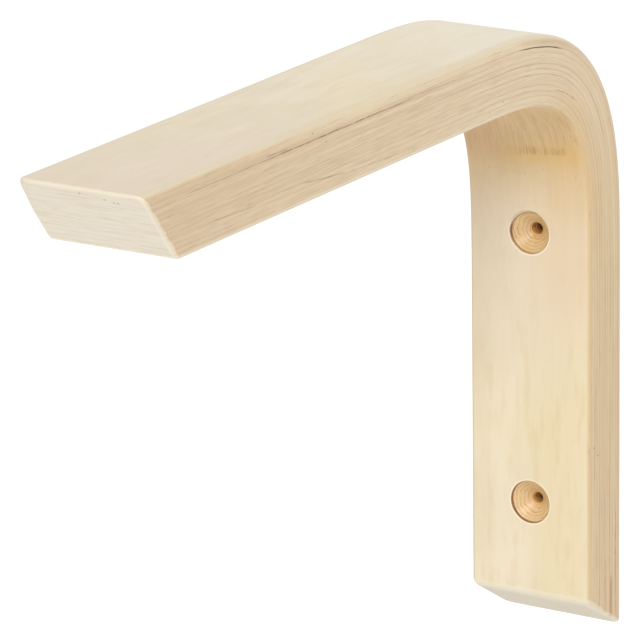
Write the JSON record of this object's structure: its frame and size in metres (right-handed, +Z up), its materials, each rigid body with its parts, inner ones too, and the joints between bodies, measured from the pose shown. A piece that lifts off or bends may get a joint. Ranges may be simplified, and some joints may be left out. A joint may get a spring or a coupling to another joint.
{
  "type": "bent plywood shelf bracket",
  "caption": "L-shaped shelf bracket bent in one piece from glued veneers, screwed to a wall through its leg and carrying a shelf on its arm.",
  "frame": {"origin": "on the back of the leg where it meets the wall, midway across the width and halfway between the two screw holes", "axes": "+X across the width, +Y out of the back of the leg into the wall, +Z up; the arm reaches towards -Y"},
  "size_m": [0.04, 0.2497, 0.1927],
  "materials": {
    "plywood": "clear satin lacquer on pale veneers, ply lines on the sides, end grain on the cut ends"
  },
  "bodies": {
    "root": {"bracket": "plywood"}
  },
  "joints": []
}
